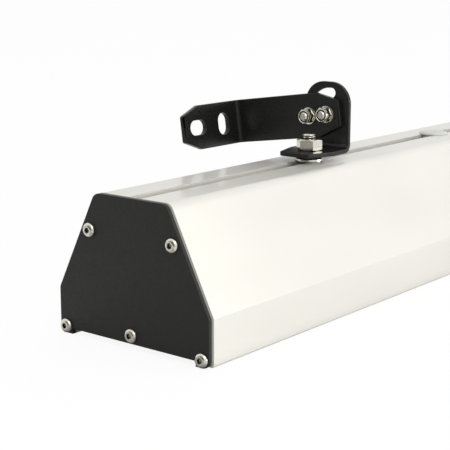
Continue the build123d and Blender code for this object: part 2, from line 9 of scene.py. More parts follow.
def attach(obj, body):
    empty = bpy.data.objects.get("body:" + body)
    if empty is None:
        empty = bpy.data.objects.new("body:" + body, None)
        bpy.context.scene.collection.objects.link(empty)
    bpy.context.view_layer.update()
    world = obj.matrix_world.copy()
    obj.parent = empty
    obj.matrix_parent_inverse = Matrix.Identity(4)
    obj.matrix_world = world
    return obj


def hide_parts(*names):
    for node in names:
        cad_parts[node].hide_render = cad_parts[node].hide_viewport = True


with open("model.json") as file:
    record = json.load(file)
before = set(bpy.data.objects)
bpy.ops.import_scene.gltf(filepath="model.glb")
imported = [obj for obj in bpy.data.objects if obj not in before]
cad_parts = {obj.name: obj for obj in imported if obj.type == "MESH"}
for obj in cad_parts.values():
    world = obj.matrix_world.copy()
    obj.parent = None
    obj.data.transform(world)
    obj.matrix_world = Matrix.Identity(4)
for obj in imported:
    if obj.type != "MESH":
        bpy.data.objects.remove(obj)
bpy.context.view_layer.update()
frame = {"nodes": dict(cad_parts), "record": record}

nodes = frame["nodes"]
slot_of = {entry["node"]: entry["material_slot"] for entry in frame["record"]["subparts"]}

MM = 0.001
# Sizes and places in mm, as the solids have them
HALF = 292.0  # half the light's length over its end plates
SIDE = 50.0  # half the housing's width
TOP = 76.1  # height of the housing
LIP = 4.5  # thickness of the slot's lips, which the clamp bolts' heads lie under
GLAND = 40.2  # height of the gland's axis
GLAND_FLATS = 24.0
BOARD = 12.4  # underside of the boards
BOARD_LENGTH, BOARD_WIDTH = 285.0, 36.0
BOARD_MIDDLE, BOARD_ACROSS = 143.5, 24.0  # from the light's middle, along and across
CHIPS = 24  # on each board
CLAMP = 142.0  # from the light's middle to each clamp bolt
CLAMP_NUT = 6.1  # underside of the clamp nut above the housing
LEG = 18.25  # middle of the bracket's leg, from the clamp bolt
PIVOT = 25.293  # height of the pivot above the housing
PIVOT_ACROSS = -2.0
LOCK = 12.3  # radius of the arc slot, where the lock bolt sits
ARM_REST = 8.1  # degrees that the arm hangs below level in the photo

# ---------------------------------------------------------------- colours and node trees


def linear(colour):
    """A hex colour as written for a screen, turned to linear light."""
    values = [int(colour[i:i + 2], 16) / 255 for i in (1, 3, 5)]
    return [v / 12.92 if v <= 0.04045 else ((v + 0.055) / 1.055) ** 2.4 for v in values] + [1.0]


def add(finish, kind, inputs=None, stops=(), **settings):
    """A node with its settings. Each input gets a value, another node's first output or a
    named output of one; stops are the (position, colour) pairs of a colour ramp."""
    node = finish.node_tree.nodes.new(kind)
    for name, value in settings.items():
        setattr(node, name, value)
    for name, value in (inputs or {}).items():
        if isinstance(value, bpy.types.Node):
            value = value.outputs[0]
        if isinstance(value, bpy.types.NodeSocket):
            finish.node_tree.links.new(value, node.inputs[name])
        else:
            node.inputs[name].default_value = value
    for index, (position, colour) in enumerate(stops):
        if index == len(node.color_ramp.elements):
            node.color_ramp.elements.new(position)
        node.color_ramp.elements[index].position = position
        node.color_ramp.elements[index].color = linear(colour)
    return node


def new_finish(name):
    finish = bpy.data.materials.new(name)
    finish.use_nodes = True
    finish.node_tree.nodes.clear()
    return finish


def per_metre(*sizes):
    """Texture scale for features of these sizes in mm."""
    scales = [1.0 / (size * MM) for size in sizes]
    return scales if len(scales) > 1 else scales[0]


# ---------------------------------------------------------------- finishes


def clear_anodised_aluminium():
    """Extruded 6063 alloy, etched and clear anodised: a warm silver satin. The die lines run
    along the length, so it mirrors sharply along the light and softly across it. The etch
    scatters light as much as the metal mirrors it, and the clear oxide shines over both."""
    finish = new_finish("clear_anodised_aluminium")
    place = add(finish, "ShaderNodeTexCoord").outputs["Object"]
    # Die lines are about 0.3 mm apart; they are drawn 1.1 mm apart to show
    along = add(finish, "ShaderNodeMapping", {"Vector": place, "Scale": per_metre(420.0, 1.1, 1.1)})
    lines = add(finish, "ShaderNodeTexNoise", {"Vector": along, "Scale": 1.0, "Detail": 3.0})
    # Etched grain is about 0.05 mm; it is drawn at 0.5 mm to show
    etch = add(finish, "ShaderNodeTexNoise", {
        "Vector": place, "Scale": per_metre(0.5), "Detail": 2.0})
    bath = add(finish, "ShaderNodeMapping", {"Vector": place, "Scale": per_metre(90.0, 35.0, 35.0)})
    cloud = add(finish, "ShaderNodeTexNoise", {"Vector": bath, "Scale": 1.0, "Detail": 1.0})
    colour = add(finish, "ShaderNodeValToRGB", {"Fac": cloud}, [(0.3, "#DAD8D0"), (0.7, "#DFDDD5")])
    gloss = add(finish, "ShaderNodeMapRange", {"Value": cloud, "From Min": 0.3, "From Max": 0.7,
                                               "To Min": 0.34, "To Max": 0.39})
    scored = add(finish, "ShaderNodeBump", {
        "Height": lines, "Distance": 0.012 * MM, "Strength": 0.5})
    etched = add(finish, "ShaderNodeBump", {"Height": etch, "Distance": 0.004 * MM, "Strength": 0.5,
                                            "Normal": scored})
    across = add(finish, "ShaderNodeTangent", direction_type="RADIAL", axis="X")
    shader = add(finish, "ShaderNodeBsdfPrincipled", {
        "Base Color": colour, "Metallic": 0.35, "Roughness": gloss, "Normal": etched,
        "Anisotropic": 0.85, "Tangent": across, "Coat Weight": 0.42, "Coat Roughness": 0.1,
        "Coat IOR": 1.6})
    add(finish, "ShaderNodeOutputMaterial", {"Surface": shader})
    return finish


def black_powder_coat():
    """Sheet aluminium with a matt black powder coat: soft grey-black with a faint orange peel."""
    finish = new_finish("matt_black_powder_coat")
    place = add(finish, "ShaderNodeTexCoord").outputs["Object"]
    peel = add(finish, "ShaderNodeTexNoise", {
        "Vector": place, "Scale": per_metre(1.6), "Detail": 1.0})
    # Powder grains are about 0.05 mm; they are drawn at 0.4 mm to show
    powder = add(finish, "ShaderNodeTexNoise", {
        "Vector": place, "Scale": per_metre(0.4), "Detail": 2.0})
    colour = add(finish, "ShaderNodeValToRGB", {"Fac": powder},
                 [(0.3, "#1A1A19"), (0.7, "#20201E")])
    gloss = add(finish, "ShaderNodeMapRange", {"Value": peel, "From Min": 0.3, "From Max": 0.7,
                                               "To Min": 0.5, "To Max": 0.6})
    wavy = add(finish, "ShaderNodeBump", {"Height": peel, "Distance": 0.06 * MM, "Strength": 0.5})
    grainy = add(finish, "ShaderNodeBump", {
        "Height": powder, "Distance": 0.02 * MM, "Strength": 0.5, "Normal": wavy})
    shader = add(finish, "ShaderNodeBsdfPrincipled", {
        "Base Color": colour, "Roughness": gloss, "Normal": grainy, "IOR": 1.5,
        "Specular IOR Level": 0.35})
    add(finish, "ShaderNodeOutputMaterial", {"Surface": shader})
    return finish


def black_dip_coat():
    """Cut and bent steel strip with a black dip coat: deeper and glossier than the plates,
    with the rolled surface just showing through."""
    finish = new_finish("black_dip_coated_steel")
    place = add(finish, "ShaderNodeTexCoord").outputs["Object"]
    strip = add(finish, "ShaderNodeMapping", {"Vector": place, "Scale": per_metre(6.0, 2.0, 2.0)})
    rolled = add(finish, "ShaderNodeTexNoise", {"Vector": strip, "Scale": 1.0, "Detail": 2.0})
    # Pores are about 0.05 mm; they are drawn at 0.45 mm to show
    pores = add(finish, "ShaderNodeTexNoise", {
        "Vector": place, "Scale": per_metre(0.45), "Detail": 2.0})
    colour = add(finish, "ShaderNodeValToRGB", {"Fac": pores}, [(0.3, "#171716"), (0.7, "#1D1D1B")])
    gloss = add(finish, "ShaderNodeMapRange", {"Value": rolled, "From Min": 0.3, "From Max": 0.7,
                                               "To Min": 0.24, "To Max": 0.34})
    rippled = add(finish, "ShaderNodeBump", {
        "Height": rolled, "Distance": 0.02 * MM, "Strength": 0.35})
    pored = add(finish, "ShaderNodeBump", {"Height": pores, "Distance": 0.008 * MM, "Strength": 0.4,
                                           "Normal": rippled})
    shader = add(finish, "ShaderNodeBsdfPrincipled", {
        "Base Color": colour, "Roughness": gloss, "Normal": pored, "IOR": 1.5,
        "Specular IOR Level": 0.28})
    add(finish, "ShaderNodeOutputMaterial", {"Surface": shader})
    return finish


def stainless_steel():
    """Cold formed A2 stainless fasteners: bright and slightly warm, tumbled smooth, with
    small dents and scuffs that break up the reflections."""
    finish = new_finish("bright_stainless_steel")
    place = add(finish, "ShaderNodeTexCoord").outputs["Object"]
    tumbled = add(finish, "ShaderNodeTexNoise", {
        "Vector": place, "Scale": per_metre(1.2), "Detail": 2.0})
    scuffed = add(finish, "ShaderNodeMapping", {
        "Vector": place, "Scale": per_metre(0.25, 2.5, 0.4)})
    scuffs = add(finish, "ShaderNodeTexNoise", {"Vector": scuffed, "Scale": 1.0, "Detail": 2.0})
    colour = add(finish, "ShaderNodeValToRGB", {"Fac": tumbled},
                 [(0.3, "#D2CEC1"), (0.7, "#DEDBCF")])
    gloss = add(finish, "ShaderNodeMapRange", {"Value": scuffs, "From Min": 0.3, "From Max": 0.7,
                                               "To Min": 0.12, "To Max": 0.22})
    dented = add(finish, "ShaderNodeBump", {
        "Height": tumbled, "Distance": 0.03 * MM, "Strength": 0.35})
    # Painted shade: ambient occlusion darkens the sockets, the thread roots and the corners to a
    # dark brown
    open_share = add(finish, "ShaderNodeAmbientOcclusion", {"Distance": 3.0 * MM}).outputs["AO"]
    unshaded_share = add(finish, "ShaderNodeMapRange", {"Value": open_share, "From Min": 0.28,
                                               "From Max": 0.66})
    # A mix of colours takes them at inputs 6 and 7 and gives output 2
    painted_shade_colour = add(finish, "ShaderNodeMix", {0: unshaded_share, 6: linear("#352B1E"), 7: colour},
                 data_type="RGBA").outputs[2]
    shader = add(finish, "ShaderNodeBsdfPrincipled", {
        "Base Color": painted_shade_colour, "Metallic": 1.0, "Roughness": gloss, "Normal": dented})
    add(finish, "ShaderNodeOutputMaterial", {"Surface": shader})
    return finish


def grey_silicone():
    """Sheet silicone rubber, die cut: a dull mid grey edge with a fine sawn look."""
    finish = new_finish("grey_silicone_sheet")
    place = add(finish, "ShaderNodeTexCoord").outputs["Object"]
    edge = add(finish, "ShaderNodeMapping", {"Vector": place, "Scale": per_metre(0.3, 0.6, 0.6)})
    cut = add(finish, "ShaderNodeTexNoise", {"Vector": edge, "Scale": 1.0, "Detail": 3.0})
    colour = add(finish, "ShaderNodeValToRGB", {"Fac": cut}, [(0.3, "#77776F"), (0.7, "#86867E")])
    gloss = add(finish, "ShaderNodeMapRange", {"Value": cut, "From Min": 0.3, "From Max": 0.7,
                                               "To Min": 0.62, "To Max": 0.78})
    sawn = add(finish, "ShaderNodeBump", {"Height": cut, "Distance": 0.05 * MM, "Strength": 0.6})
    shader = add(finish, "ShaderNodeBsdfPrincipled", {
        "Base Color": colour, "Roughness": gloss, "Normal": sawn, "IOR": 1.41})
    add(finish, "ShaderNodeOutputMaterial", {"Surface": shader})
    return finish


def clear_polycarbonate():
    """Extruded clear polycarbonate: see-through, with faint die lines along the length."""
    finish = new_finish("clear_polycarbonate")
    place = add(finish, "ShaderNodeTexCoord").outputs["Object"]
    # Die lines are about 0.2 mm apart; they are drawn 1.5 mm apart to show
    along = add(finish, "ShaderNodeMapping", {"Vector": place, "Scale": per_metre(300.0, 1.5, 1.5)})
    lines = add(finish, "ShaderNodeTexNoise", {"Vector": along, "Scale": 1.0, "Detail": 2.0})
    gloss = add(finish, "ShaderNodeMapRange", {"Value": lines, "From Min": 0.3, "From Max": 0.7,
                                               "To Min": 0.03, "To Max": 0.07})
    drawn = add(finish, "ShaderNodeBump", {"Height": lines, "Distance": 0.01 * MM, "Strength": 0.3})
    shader = add(finish, "ShaderNodeBsdfPrincipled", {
        "Base Color": linear("#F7F9F8"), "Roughness": gloss, "Normal": drawn, "IOR": 1.585,
        "Transmission Weight": 1.0})
    add(finish, "ShaderNodeOutputMaterial", {"Surface": shader})
    return finish


def white_solder_mask():
    """Aluminium core board under white solder mask: clean white, its copper fields standing
    a little proud with thin darker gaps between them."""
    finish = new_finish("white_solder_mask")
    place = add(finish, "ShaderNodeTexCoord").outputs["Object"]
    # One field to each chip, 11.8 mm apart
    board = add(finish, "ShaderNodeMapping", {"Vector": place, "Scale": per_metre(11.8, 9.0, 9.0)})
    fields = add(finish, "ShaderNodeTexBrick", {
        "Vector": board, "Scale": 1.0, "Brick Width": 1.0, "Row Height": 1.0, "Mortar Size": 0.045,
        "Mortar Smooth": 0.3, "Color1": linear("#EFF0EC"), "Color2": linear("#F2F3EF"),
        "Mortar": linear("#DDDFD8")}, offset=0.5)
    screen = add(finish, "ShaderNodeTexNoise", {
        "Vector": place, "Scale": per_metre(0.5), "Detail": 2.0})
    gloss = add(finish, "ShaderNodeMapRange", {"Value": screen, "From Min": 0.3, "From Max": 0.7,
                                               "To Min": 0.42, "To Max": 0.5})
    stepped = add(finish, "ShaderNodeBump", {"Height": fields.outputs["Fac"], "Distance": 0.04 * MM,
                                             "Strength": 0.6}, invert=True)
    printed = add(finish, "ShaderNodeBump", {
        "Height": screen, "Distance": 0.01 * MM, "Strength": 0.4, "Normal": stepped})
    shader = add(finish, "ShaderNodeBsdfPrincipled", {
        "Base Color": fields, "Roughness": gloss, "Normal": printed, "IOR": 1.55,
        "Coat Weight": 0.2, "Coat Roughness": 0.25})
    add(finish, "ShaderNodeOutputMaterial", {"Surface": shader})
    return finish


def yellow_phosphor():
    """Silicone filled with phosphor in each chip: warm yellow, slightly grainy and soft."""
    finish = new_finish("yellow_phosphor")
    place = add(finish, "ShaderNodeTexCoord").outputs["Object"]
    dots = add(finish, "ShaderNodeTexNoise", {
        "Vector": place, "Scale": per_metre(0.25), "Detail": 3.0})
    colour = add(finish, "ShaderNodeValToRGB", {"Fac": dots}, [(0.3, "#D9AE34"), (0.7, "#E8C552")])
    gloss = add(finish, "ShaderNodeMapRange", {"Value": dots, "From Min": 0.3, "From Max": 0.7,
                                               "To Min": 0.3, "To Max": 0.42})
    grainy = add(finish, "ShaderNodeBump", {"Height": dots, "Distance": 0.02 * MM, "Strength": 0.5})
    shader = add(finish, "ShaderNodeBsdfPrincipled", {
        "Base Color": colour, "Roughness": gloss, "Normal": grainy, "IOR": 1.41})
    add(finish, "ShaderNodeOutputMaterial", {"Surface": shader})
    return finish


def white_chip_moulding():
    """Moulded white polyphthalamide frame of each LED chip, faintly shiny."""
    finish = new_finish("white_chip_moulding")
    place = add(finish, "ShaderNodeTexCoord").outputs["Object"]
    dots = add(finish, "ShaderNodeTexNoise", {
        "Vector": place, "Scale": per_metre(0.3), "Detail": 2.0})
    colour = add(finish, "ShaderNodeValToRGB", {"Fac": dots}, [(0.3, "#ECECE6"), (0.7, "#F4F4EF")])
    gloss = add(finish, "ShaderNodeMapRange", {"Value": dots, "From Min": 0.3, "From Max": 0.7,
                                               "To Min": 0.35, "To Max": 0.45})
    shader = add(finish, "ShaderNodeBsdfPrincipled", {
        "Base Color": colour, "Roughness": gloss, "IOR": 1.54})
    add(finish, "ShaderNodeOutputMaterial", {"Surface": shader})
    return finish


def brushed_aluminium_sheet():
    """Folded aluminium sheet of the driver's case, brushed along the light."""
    finish = new_finish("brushed_aluminium_sheet")
    place = add(finish, "ShaderNodeTexCoord").outputs["Object"]
    # Brush lines are about 0.1 mm apart; they are drawn 0.5 mm apart to show
    along = add(finish, "ShaderNodeMapping", {"Vector": place, "Scale": per_metre(40.0, 0.5, 0.5)})
    brush = add(finish, "ShaderNodeTexNoise", {"Vector": along, "Scale": 1.0, "Detail": 3.0})
    colour = add(finish, "ShaderNodeValToRGB", {"Fac": brush}, [(0.3, "#BFC0BE"), (0.7, "#CDCECC")])
    gloss = add(finish, "ShaderNodeMapRange", {"Value": brush, "From Min": 0.3, "From Max": 0.7,
                                               "To Min": 0.28, "To Max": 0.42})
    brushed = add(finish, "ShaderNodeBump", {
        "Height": brush, "Distance": 0.02 * MM, "Strength": 0.5})
    shader = add(finish, "ShaderNodeBsdfPrincipled", {
        "Base Color": colour, "Metallic": 1.0, "Roughness": gloss, "Normal": brushed})
    add(finish, "ShaderNodeOutputMaterial", {"Surface": shader})
    return finish


def grey_polyamide():
    """Moulded light grey polyamide with a spark eroded surface: off-white and satin."""
    finish = new_finish("light_grey_polyamide")
    place = add(finish, "ShaderNodeTexCoord").outputs["Object"]
    # Eroded grain is about 0.1 mm; it is drawn at 0.4 mm to show
    spark = add(finish, "ShaderNodeTexNoise", {
        "Vector": place, "Scale": per_metre(0.4), "Detail": 2.0})
    colour = add(finish, "ShaderNodeValToRGB", {"Fac": spark}, [(0.3, "#D9D8D2"), (0.7, "#E0DFD9")])
    gloss = add(finish, "ShaderNodeMapRange", {"Value": spark, "From Min": 0.3, "From Max": 0.7,
                                               "To Min": 0.42, "To Max": 0.52})
    eroded = add(finish, "ShaderNodeBump", {
        "Height": spark, "Distance": 0.02 * MM, "Strength": 0.4})
    shader = add(finish, "ShaderNodeBsdfPrincipled", {
        "Base Color": colour, "Roughness": gloss, "Normal": eroded, "IOR": 1.53})
    add(finish, "ShaderNodeOutputMaterial", {"Surface": shader})
    return finish


def black_polyamide():
    """Moulded black polyamide of the cable gland, friction washers and locking rings: satin,
    with a fine eroded texture and faint flow marks."""
    finish = new_finish("black_polyamide")
    place = add(finish, "ShaderNodeTexCoord").outputs["Object"]
    # Eroded grain is about 0.1 mm; it is drawn at 0.45 mm to show
    spark = add(finish, "ShaderNodeTexNoise", {
        "Vector": place, "Scale": per_metre(0.45), "Detail": 2.0})
    flow = add(finish, "ShaderNodeTexNoise", {
        "Vector": place, "Scale": per_metre(8.0), "Detail": 1.0})
    colour = add(finish, "ShaderNodeValToRGB", {"Fac": flow}, [(0.3, "#1A1A1A"), (0.7, "#202020")])
    gloss = add(finish, "ShaderNodeMapRange", {"Value": spark, "From Min": 0.3, "From Max": 0.7,
                                               "To Min": 0.38, "To Max": 0.5})
    eroded = add(finish, "ShaderNodeBump", {
        "Height": spark, "Distance": 0.03 * MM, "Strength": 0.5})
    shader = add(finish, "ShaderNodeBsdfPrincipled", {
        "Base Color": colour, "Roughness": gloss, "Normal": eroded, "IOR": 1.53})
    add(finish, "ShaderNodeOutputMaterial", {"Surface": shader})
    return finish


def black_rubber():
    """Moulded nitrile rubber of the gland's seal: dull black with a soft bloom."""
    finish = new_finish("black_nitrile_rubber")
    place = add(finish, "ShaderNodeTexCoord").outputs["Object"]
    bloom = add(finish, "ShaderNodeTexNoise", {
        "Vector": place, "Scale": per_metre(3.0), "Detail": 3.0})
    colour = add(finish, "ShaderNodeValToRGB", {"Fac": bloom}, [(0.3, "#181817"), (0.7, "#22221F")])
    gloss = add(finish, "ShaderNodeMapRange", {"Value": bloom, "From Min": 0.3, "From Max": 0.7,
                                               "To Min": 0.68, "To Max": 0.85})
    soft = add(finish, "ShaderNodeBump", {"Height": bloom, "Distance": 0.04 * MM, "Strength": 0.4})
    shader = add(finish, "ShaderNodeBsdfPrincipled", {
        "Base Color": colour, "Roughness": gloss, "Normal": soft, "IOR": 1.52})
    add(finish, "ShaderNodeOutputMaterial", {"Surface": shader})
    return finish


def grey_polyethylene():
    """Moulded polyethylene of the slot plug: pale grey, waxy and soft in the light."""
    finish = new_finish("pale_grey_polyethylene")
    place = add(finish, "ShaderNodeTexCoord").outputs["Object"]
    wax = add(finish, "ShaderNodeTexNoise", {
        "Vector": place, "Scale": per_metre(0.6), "Detail": 2.0})
    colour = add(finish, "ShaderNodeValToRGB", {"Fac": wax}, [(0.3, "#C2C6C1"), (0.7, "#C9CCC8")])
    gloss = add(finish, "ShaderNodeMapRange", {"Value": wax, "From Min": 0.3, "From Max": 0.7,
                                               "To Min": 0.36, "To Max": 0.46})
    waxy = add(finish, "ShaderNodeBump", {"Height": wax, "Distance": 0.02 * MM, "Strength": 0.3})
    shader = add(finish, "ShaderNodeBsdfPrincipled", {
        "Base Color": colour, "Roughness": gloss, "Normal": waxy, "IOR": 1.51,
        "Subsurface Weight": 0.1, "Subsurface Radius": (0.002, 0.002, 0.002)})
    add(finish, "ShaderNodeOutputMaterial", {"Surface": shader})
    return finish


finishes = {
    "anodised_aluminium": clear_anodised_aluminium(),
    "black_powder_coat": black_powder_coat(),
    "black_steel": black_dip_coat(),
    "stainless_steel": stainless_steel(),
    "grey_gasket": grey_silicone(),
    "clear_polycarbonate": clear_polycarbonate(),
    "white_board": white_solder_mask(),
    "led_phosphor": yellow_phosphor(),
    "driver_aluminium": brushed_aluminium_sheet(),
    "terminal_plastic": grey_polyamide(),
    "black_nylon": black_polyamide(),
    "black_rubber": black_rubber(),
    "grey_plug": grey_polyethylene(),
}
chip_moulding = white_chip_moulding()

# Each solid of the model wears the finish of its slot in the record
for name, solid in nodes.items():
    solid.data.materials.clear()
    solid.data.materials.append(finishes[slot_of[name]])


# ---------------------------------------------------------------- turned and formed shapes


def shape_object(name, shape, finish, smooth=35.0):
    """A mesh object from a bmesh, smooth shaded up to an angle."""
    bmesh.ops.remove_doubles(shape, verts=shape.verts, dist=1e-6)
    bmesh.ops.recalc_face_normals(shape, faces=shape.faces)
    for face in shape.faces:
        face.smooth = True
    for edge in shape.edges:
        if len(edge.link_faces) == 2 and edge.calc_face_angle(0.0) > math.radians(smooth):
            edge.smooth = False
    mesh = bpy.data.meshes.new(name)
    shape.to_mesh(mesh)
    shape.free()
    mesh.materials.append(finish)
    piece = bpy.data.objects.new(name, mesh)
    bpy.context.scene.collection.objects.link(piece)
    return piece


def turned(profile, segments, closed=True):
    """Revolve a profile round Z. profile(angle) gives points (radius, height) in mm, and may
    change with the angle, as on a nut. An open profile ends in points with no radius."""
    shape = bmesh.new()
    rings = []
    for index in range(segments):
        angle = 2 * math.pi * index / segments
        rings.append([
            shape.verts.new((r * MM * math.cos(angle), r * MM * math.sin(angle), z * MM))
            for r, z in profile(angle)
        ])
    steps = len(rings[0])
    for index in range(segments):
        here, there = rings[index], rings[(index + 1) % segments]
        for step in range(steps if closed else steps - 1):
            after = (step + 1) % steps
            corners = [here[step], there[step], there[after], here[after]]
            if here[step].co.xy.length < 1e-9:
                corners = [here[step], there[after], here[after]]
            elif here[after].co.xy.length < 1e-9:
                corners = [here[step], there[step], here[after]]
            shape.faces.new(corners)
    return shape


def moved(shape, place):
    bmesh.ops.transform(shape, matrix=place, verts=shape.verts)
    return shape


def joined(shapes):
    """Several shapes as one."""
    whole = bmesh.new()
    for shape in shapes:
        mesh = bpy.data.meshes.new("part")
        shape.to_mesh(mesh)
        shape.free()
        whole.from_mesh(mesh)
        bpy.data.meshes.remove(mesh)
    return whole


def hexagon_radius(flats, angle):
    """Distance from the middle of a hexagon to its side; one corner lies at angle 0."""
    return flats / 2 / math.cos(angle % (math.pi / 3) - math.pi / 6)


def square_radius(side, angle):
    """The same for a square whose corners are cut where they reach 1.34 times as far."""
    return side / 2 * min(1 / max(abs(math.cos(angle)), abs(math.sin(angle))), 1.34)


def turned_off(flats, angle, crown_share):
    """How far below the face a hexagon's side starts, where its corners are turned off at 30
    degrees outside a crown."""
    crown = flats / 2 * crown_share
    drop = (hexagon_radius(flats, angle) - crown) * math.tan(math.radians(30))
    return crown, max(drop, 0.01)


def thread(diameter, pitch, start, end, angle, rows, bevel):
    """Points down a V thread from one height to another. A fifth of the pitch is flat crest,
    and the crests fall away towards the end inside the bevel."""
    depth = 0.61 * pitch  # of a metric thread
    points = []
    for row in range(rows + 1):
        height = start + (end - start) * row / rows
        phase = (height / pitch - angle / (2 * math.pi)) % 1.0
        wave = min(abs(2 * phase - 1) * 1.25, 1.0)
        limit = diameter / 2 - max(0.0, bevel - abs(end - height))
        points.append((min(diameter / 2 - depth * (1 - wave), limit), height))
    return points


def bolt_shape(diameter, pitch, flats, head_height, length, segments=48):
    """A hexagon bolt: head below z = 0, threaded shank up to z = length."""
    def profile(angle):
        side = hexagon_radius(flats, angle)
        crown, drop = turned_off(flats, angle, 0.95)
        head = [(0, -head_height), (crown, -head_height), (side, drop - head_height),
                (side, -0.12), (side - 0.12, 0)]
        rows = int(length / pitch * 8)
        return head + thread(diameter, pitch, 0, length, angle, rows, 0.6) + [(0, length)]

    return turned(profile, segments, closed=False)


def nut_shape(diameter, flats, height, segments=72):
    """A hexagon nut, both faces turned to a crown and the bore countersunk."""
    bore = diameter / 2 + 0.05

    def profile(angle):
        side = hexagon_radius(flats, angle)
        crown, drop = turned_off(flats, angle, 0.96)
        return [(bore, 0.35), (bore + 0.35, 0), (crown, 0), (side, drop), (side, height - drop),
                (crown, height), (bore + 0.35, height), (bore, height - 0.35)]

    return turned(profile, segments)


def lock_nut_shape(diameter, flats, height, collar, segments=72):
    """A lock nut: a hexagon whose round collar is rolled over a nylon ring."""
    bore = diameter / 2 + 0.05
    base = height - collar

    def profile(angle):
        side = hexagon_radius(flats, angle)
        crown, drop = turned_off(flats, angle, 0.97)
        return [(bore, 0.3), (bore + 0.3, 0), (crown, 0), (side, drop), (side, base - drop * 0.7),
                (crown, base), (crown, height - 0.5), (crown - 0.12, height - 0.18),
                (crown - 0.4, height), (bore + 0.85, height), (bore + 0.7, height - 0.15),
                (bore + 0.7, base), (bore, base)]

    return turned(profile, segments)


def nylon_ring_shape(diameter, height, collar, segments=48):
    """The nylon ring inside a lock nut, pressed into a dish by the thread."""
    bore = diameter / 2 + 0.02
    base = height - collar + 0.05
    rim = [(bore, base), (bore + 0.66, base), (bore + 0.66, height - 0.3),
           (bore + 0.35, height - 0.22), (bore, height - 0.4)]
    return turned(lambda angle: rim, segments)


def washer_shape(outer, bore, thickness, segments=64):
    """A punched washer: one edge rolled by the punch, the other sharp."""
    rim = [(bore / 2, 0.12), (bore / 2 + 0.12, 0), (outer / 2 - 0.1, 0), (outer / 2, 0.1),
           (outer / 2, thickness - 0.4), (outer / 2 - 0.12, thickness - 0.12),
           (outer / 2 - 0.4, thickness), (bore / 2 + 0.25, thickness), (bore / 2, thickness - 0.25)]
    return turned(lambda angle: rim, segments)


def friction_washer_shape(outer, bore, thickness, segments=64):
    """A moulded washer with a bulging rim and a groove round its lower face."""
    rim = [(bore / 2, 0.2), (bore / 2 + 0.2, 0), (bore / 2 + 0.9, 0), (bore / 2 + 1.05, 0.15),
           (bore / 2 + 1.3, 0.15), (bore / 2 + 1.45, 0), (outer / 2 - 0.5, 0),
           (outer / 2 - 0.15, 0.2), (outer / 2, thickness / 2),
           (outer / 2 - 0.15, thickness - 0.2), (outer / 2 - 0.5, thickness),
           (bore / 2 + 0.2, thickness), (bore / 2, thickness - 0.2)]
    return turned(lambda angle: rim, segments)


def button_screw_shape(diameter, pitch, length, head, head_height, socket, depth):
    """A button head screw: domed head on z = 0 with a hexagon socket, thread below."""
    land = 0.35  # upright edge below the dome
    rim = socket / 2 / math.cos(math.pi / 6) + 0.12
    flat = rim + 0.1
    rows = int(length / pitch * 4)

    def profile(angle):
        six = hexagon_radius(socket, angle)
        points = [(0, head_height - depth - 0.25), (six * 0.9, head_height - depth),
                  (six, head_height - depth + 0.1), (six, head_height - 0.12), (rim, head_height)]
        for step in range(1, 9):
            turn = math.pi / 2 * step / 8
            points.append((flat + (head / 2 - flat) * math.sin(turn),
                           land + (head_height - land) * math.cos(turn)))
        points += [(head / 2, 0.1), (head / 2 - 0.1, 0)]
        return points + thread(diameter, pitch, 0, -length, angle, rows, 0.8) + [(0, -length)]

    return turned(profile, 36, closed=False)


def pan_screw_shape(diameter, pitch, length, head, head_height):
    """A pan head screw: head on z = 0 with a cross recess that tapers inwards, thread below."""
    rows = int(length / pitch * 4)

    def profile(angle):
        quarter = abs((angle + math.pi / 4) % (math.pi / 2) - math.pi / 4)
        arm = 0.28 * head if quarter < math.radians(12) else 0.1 * head
        points = [(0, head_height * 0.3), (arm * 0.6, head_height * 0.35),
                  (arm, head_height * 0.96), (0.3 * head, head_height),
                  (0.36 * head, head_height * 0.97), (0.45 * head, head_height * 0.78),
                  (head / 2, head_height * 0.4), (head / 2, 0.06), (head / 2 - 0.06, 0)]
        return points + thread(diameter, pitch, 0, -length, angle, rows, 0.6) + [(0, -length)]

    return turned(profile, 32, closed=False)


def chip_frame_shape():
    """A 3 mm square chip frame hanging from z = 0, with a sloping round well."""
    def profile(angle):
        side = square_radius(3.0, angle)
        return [(0, -0.4), (1.05, -0.4), (1.25, -0.66), (1.33, -0.7), (side - 0.06, -0.7),
                (side, -0.64), (side, 0), (0, 0)]

    return turned(profile, 16, closed=False)


def chip_phosphor_shape():
    """The phosphor that fills the well, level with the frame and dished by its own skin."""
    skin = [(0, -0.56), (0.6, -0.58), (1.0, -0.62), (1.22, -0.655), (1.05, -0.41), (0, -0.41)]
    return turned(lambda angle: skin, 16, closed=False)


def gland_cap_shape():
    """Dome nut of the gland: hexagon with fine grip ribs, a round shoulder and a rounded nose
    with the cable's opening. Built from the plate's face outwards along +Z."""
    ribs, rib_depth = 48, 0.22

    def profile(angle):
        side = hexagon_radius(GLAND_FLATS, angle)
        crown, drop = turned_off(GLAND_FLATS, angle, 0.96)
        rib = rib_depth * (0.5 - 0.5 * math.cos(ribs * angle))
        points = [(9.6, 6.0), (crown, 6.0), (side - 0.05, 6.0 + drop), (side - 0.05, 7.6),
                  (side - 0.05 - rib, 8.2), (side - 0.05 - rib, 14.0), (side - 0.05, 14.6),
                  (side - 0.05, 16.0 - drop), (crown, 15.95)]
        for step in range(1, 9):
            turn = math.pi / 2 * step / 8
            points.append((7.0 + 4.4 * math.cos(turn), 16.4 + 7.5 * math.sin(turn)))
        inside = [(6.4, 23.9), (6.2, 23.6), (6.2, 21.1), (7.3, 21.0), (7.3, 16.1), (9.6, 16.0)]
        return points + inside

    return turned(profile, 144)


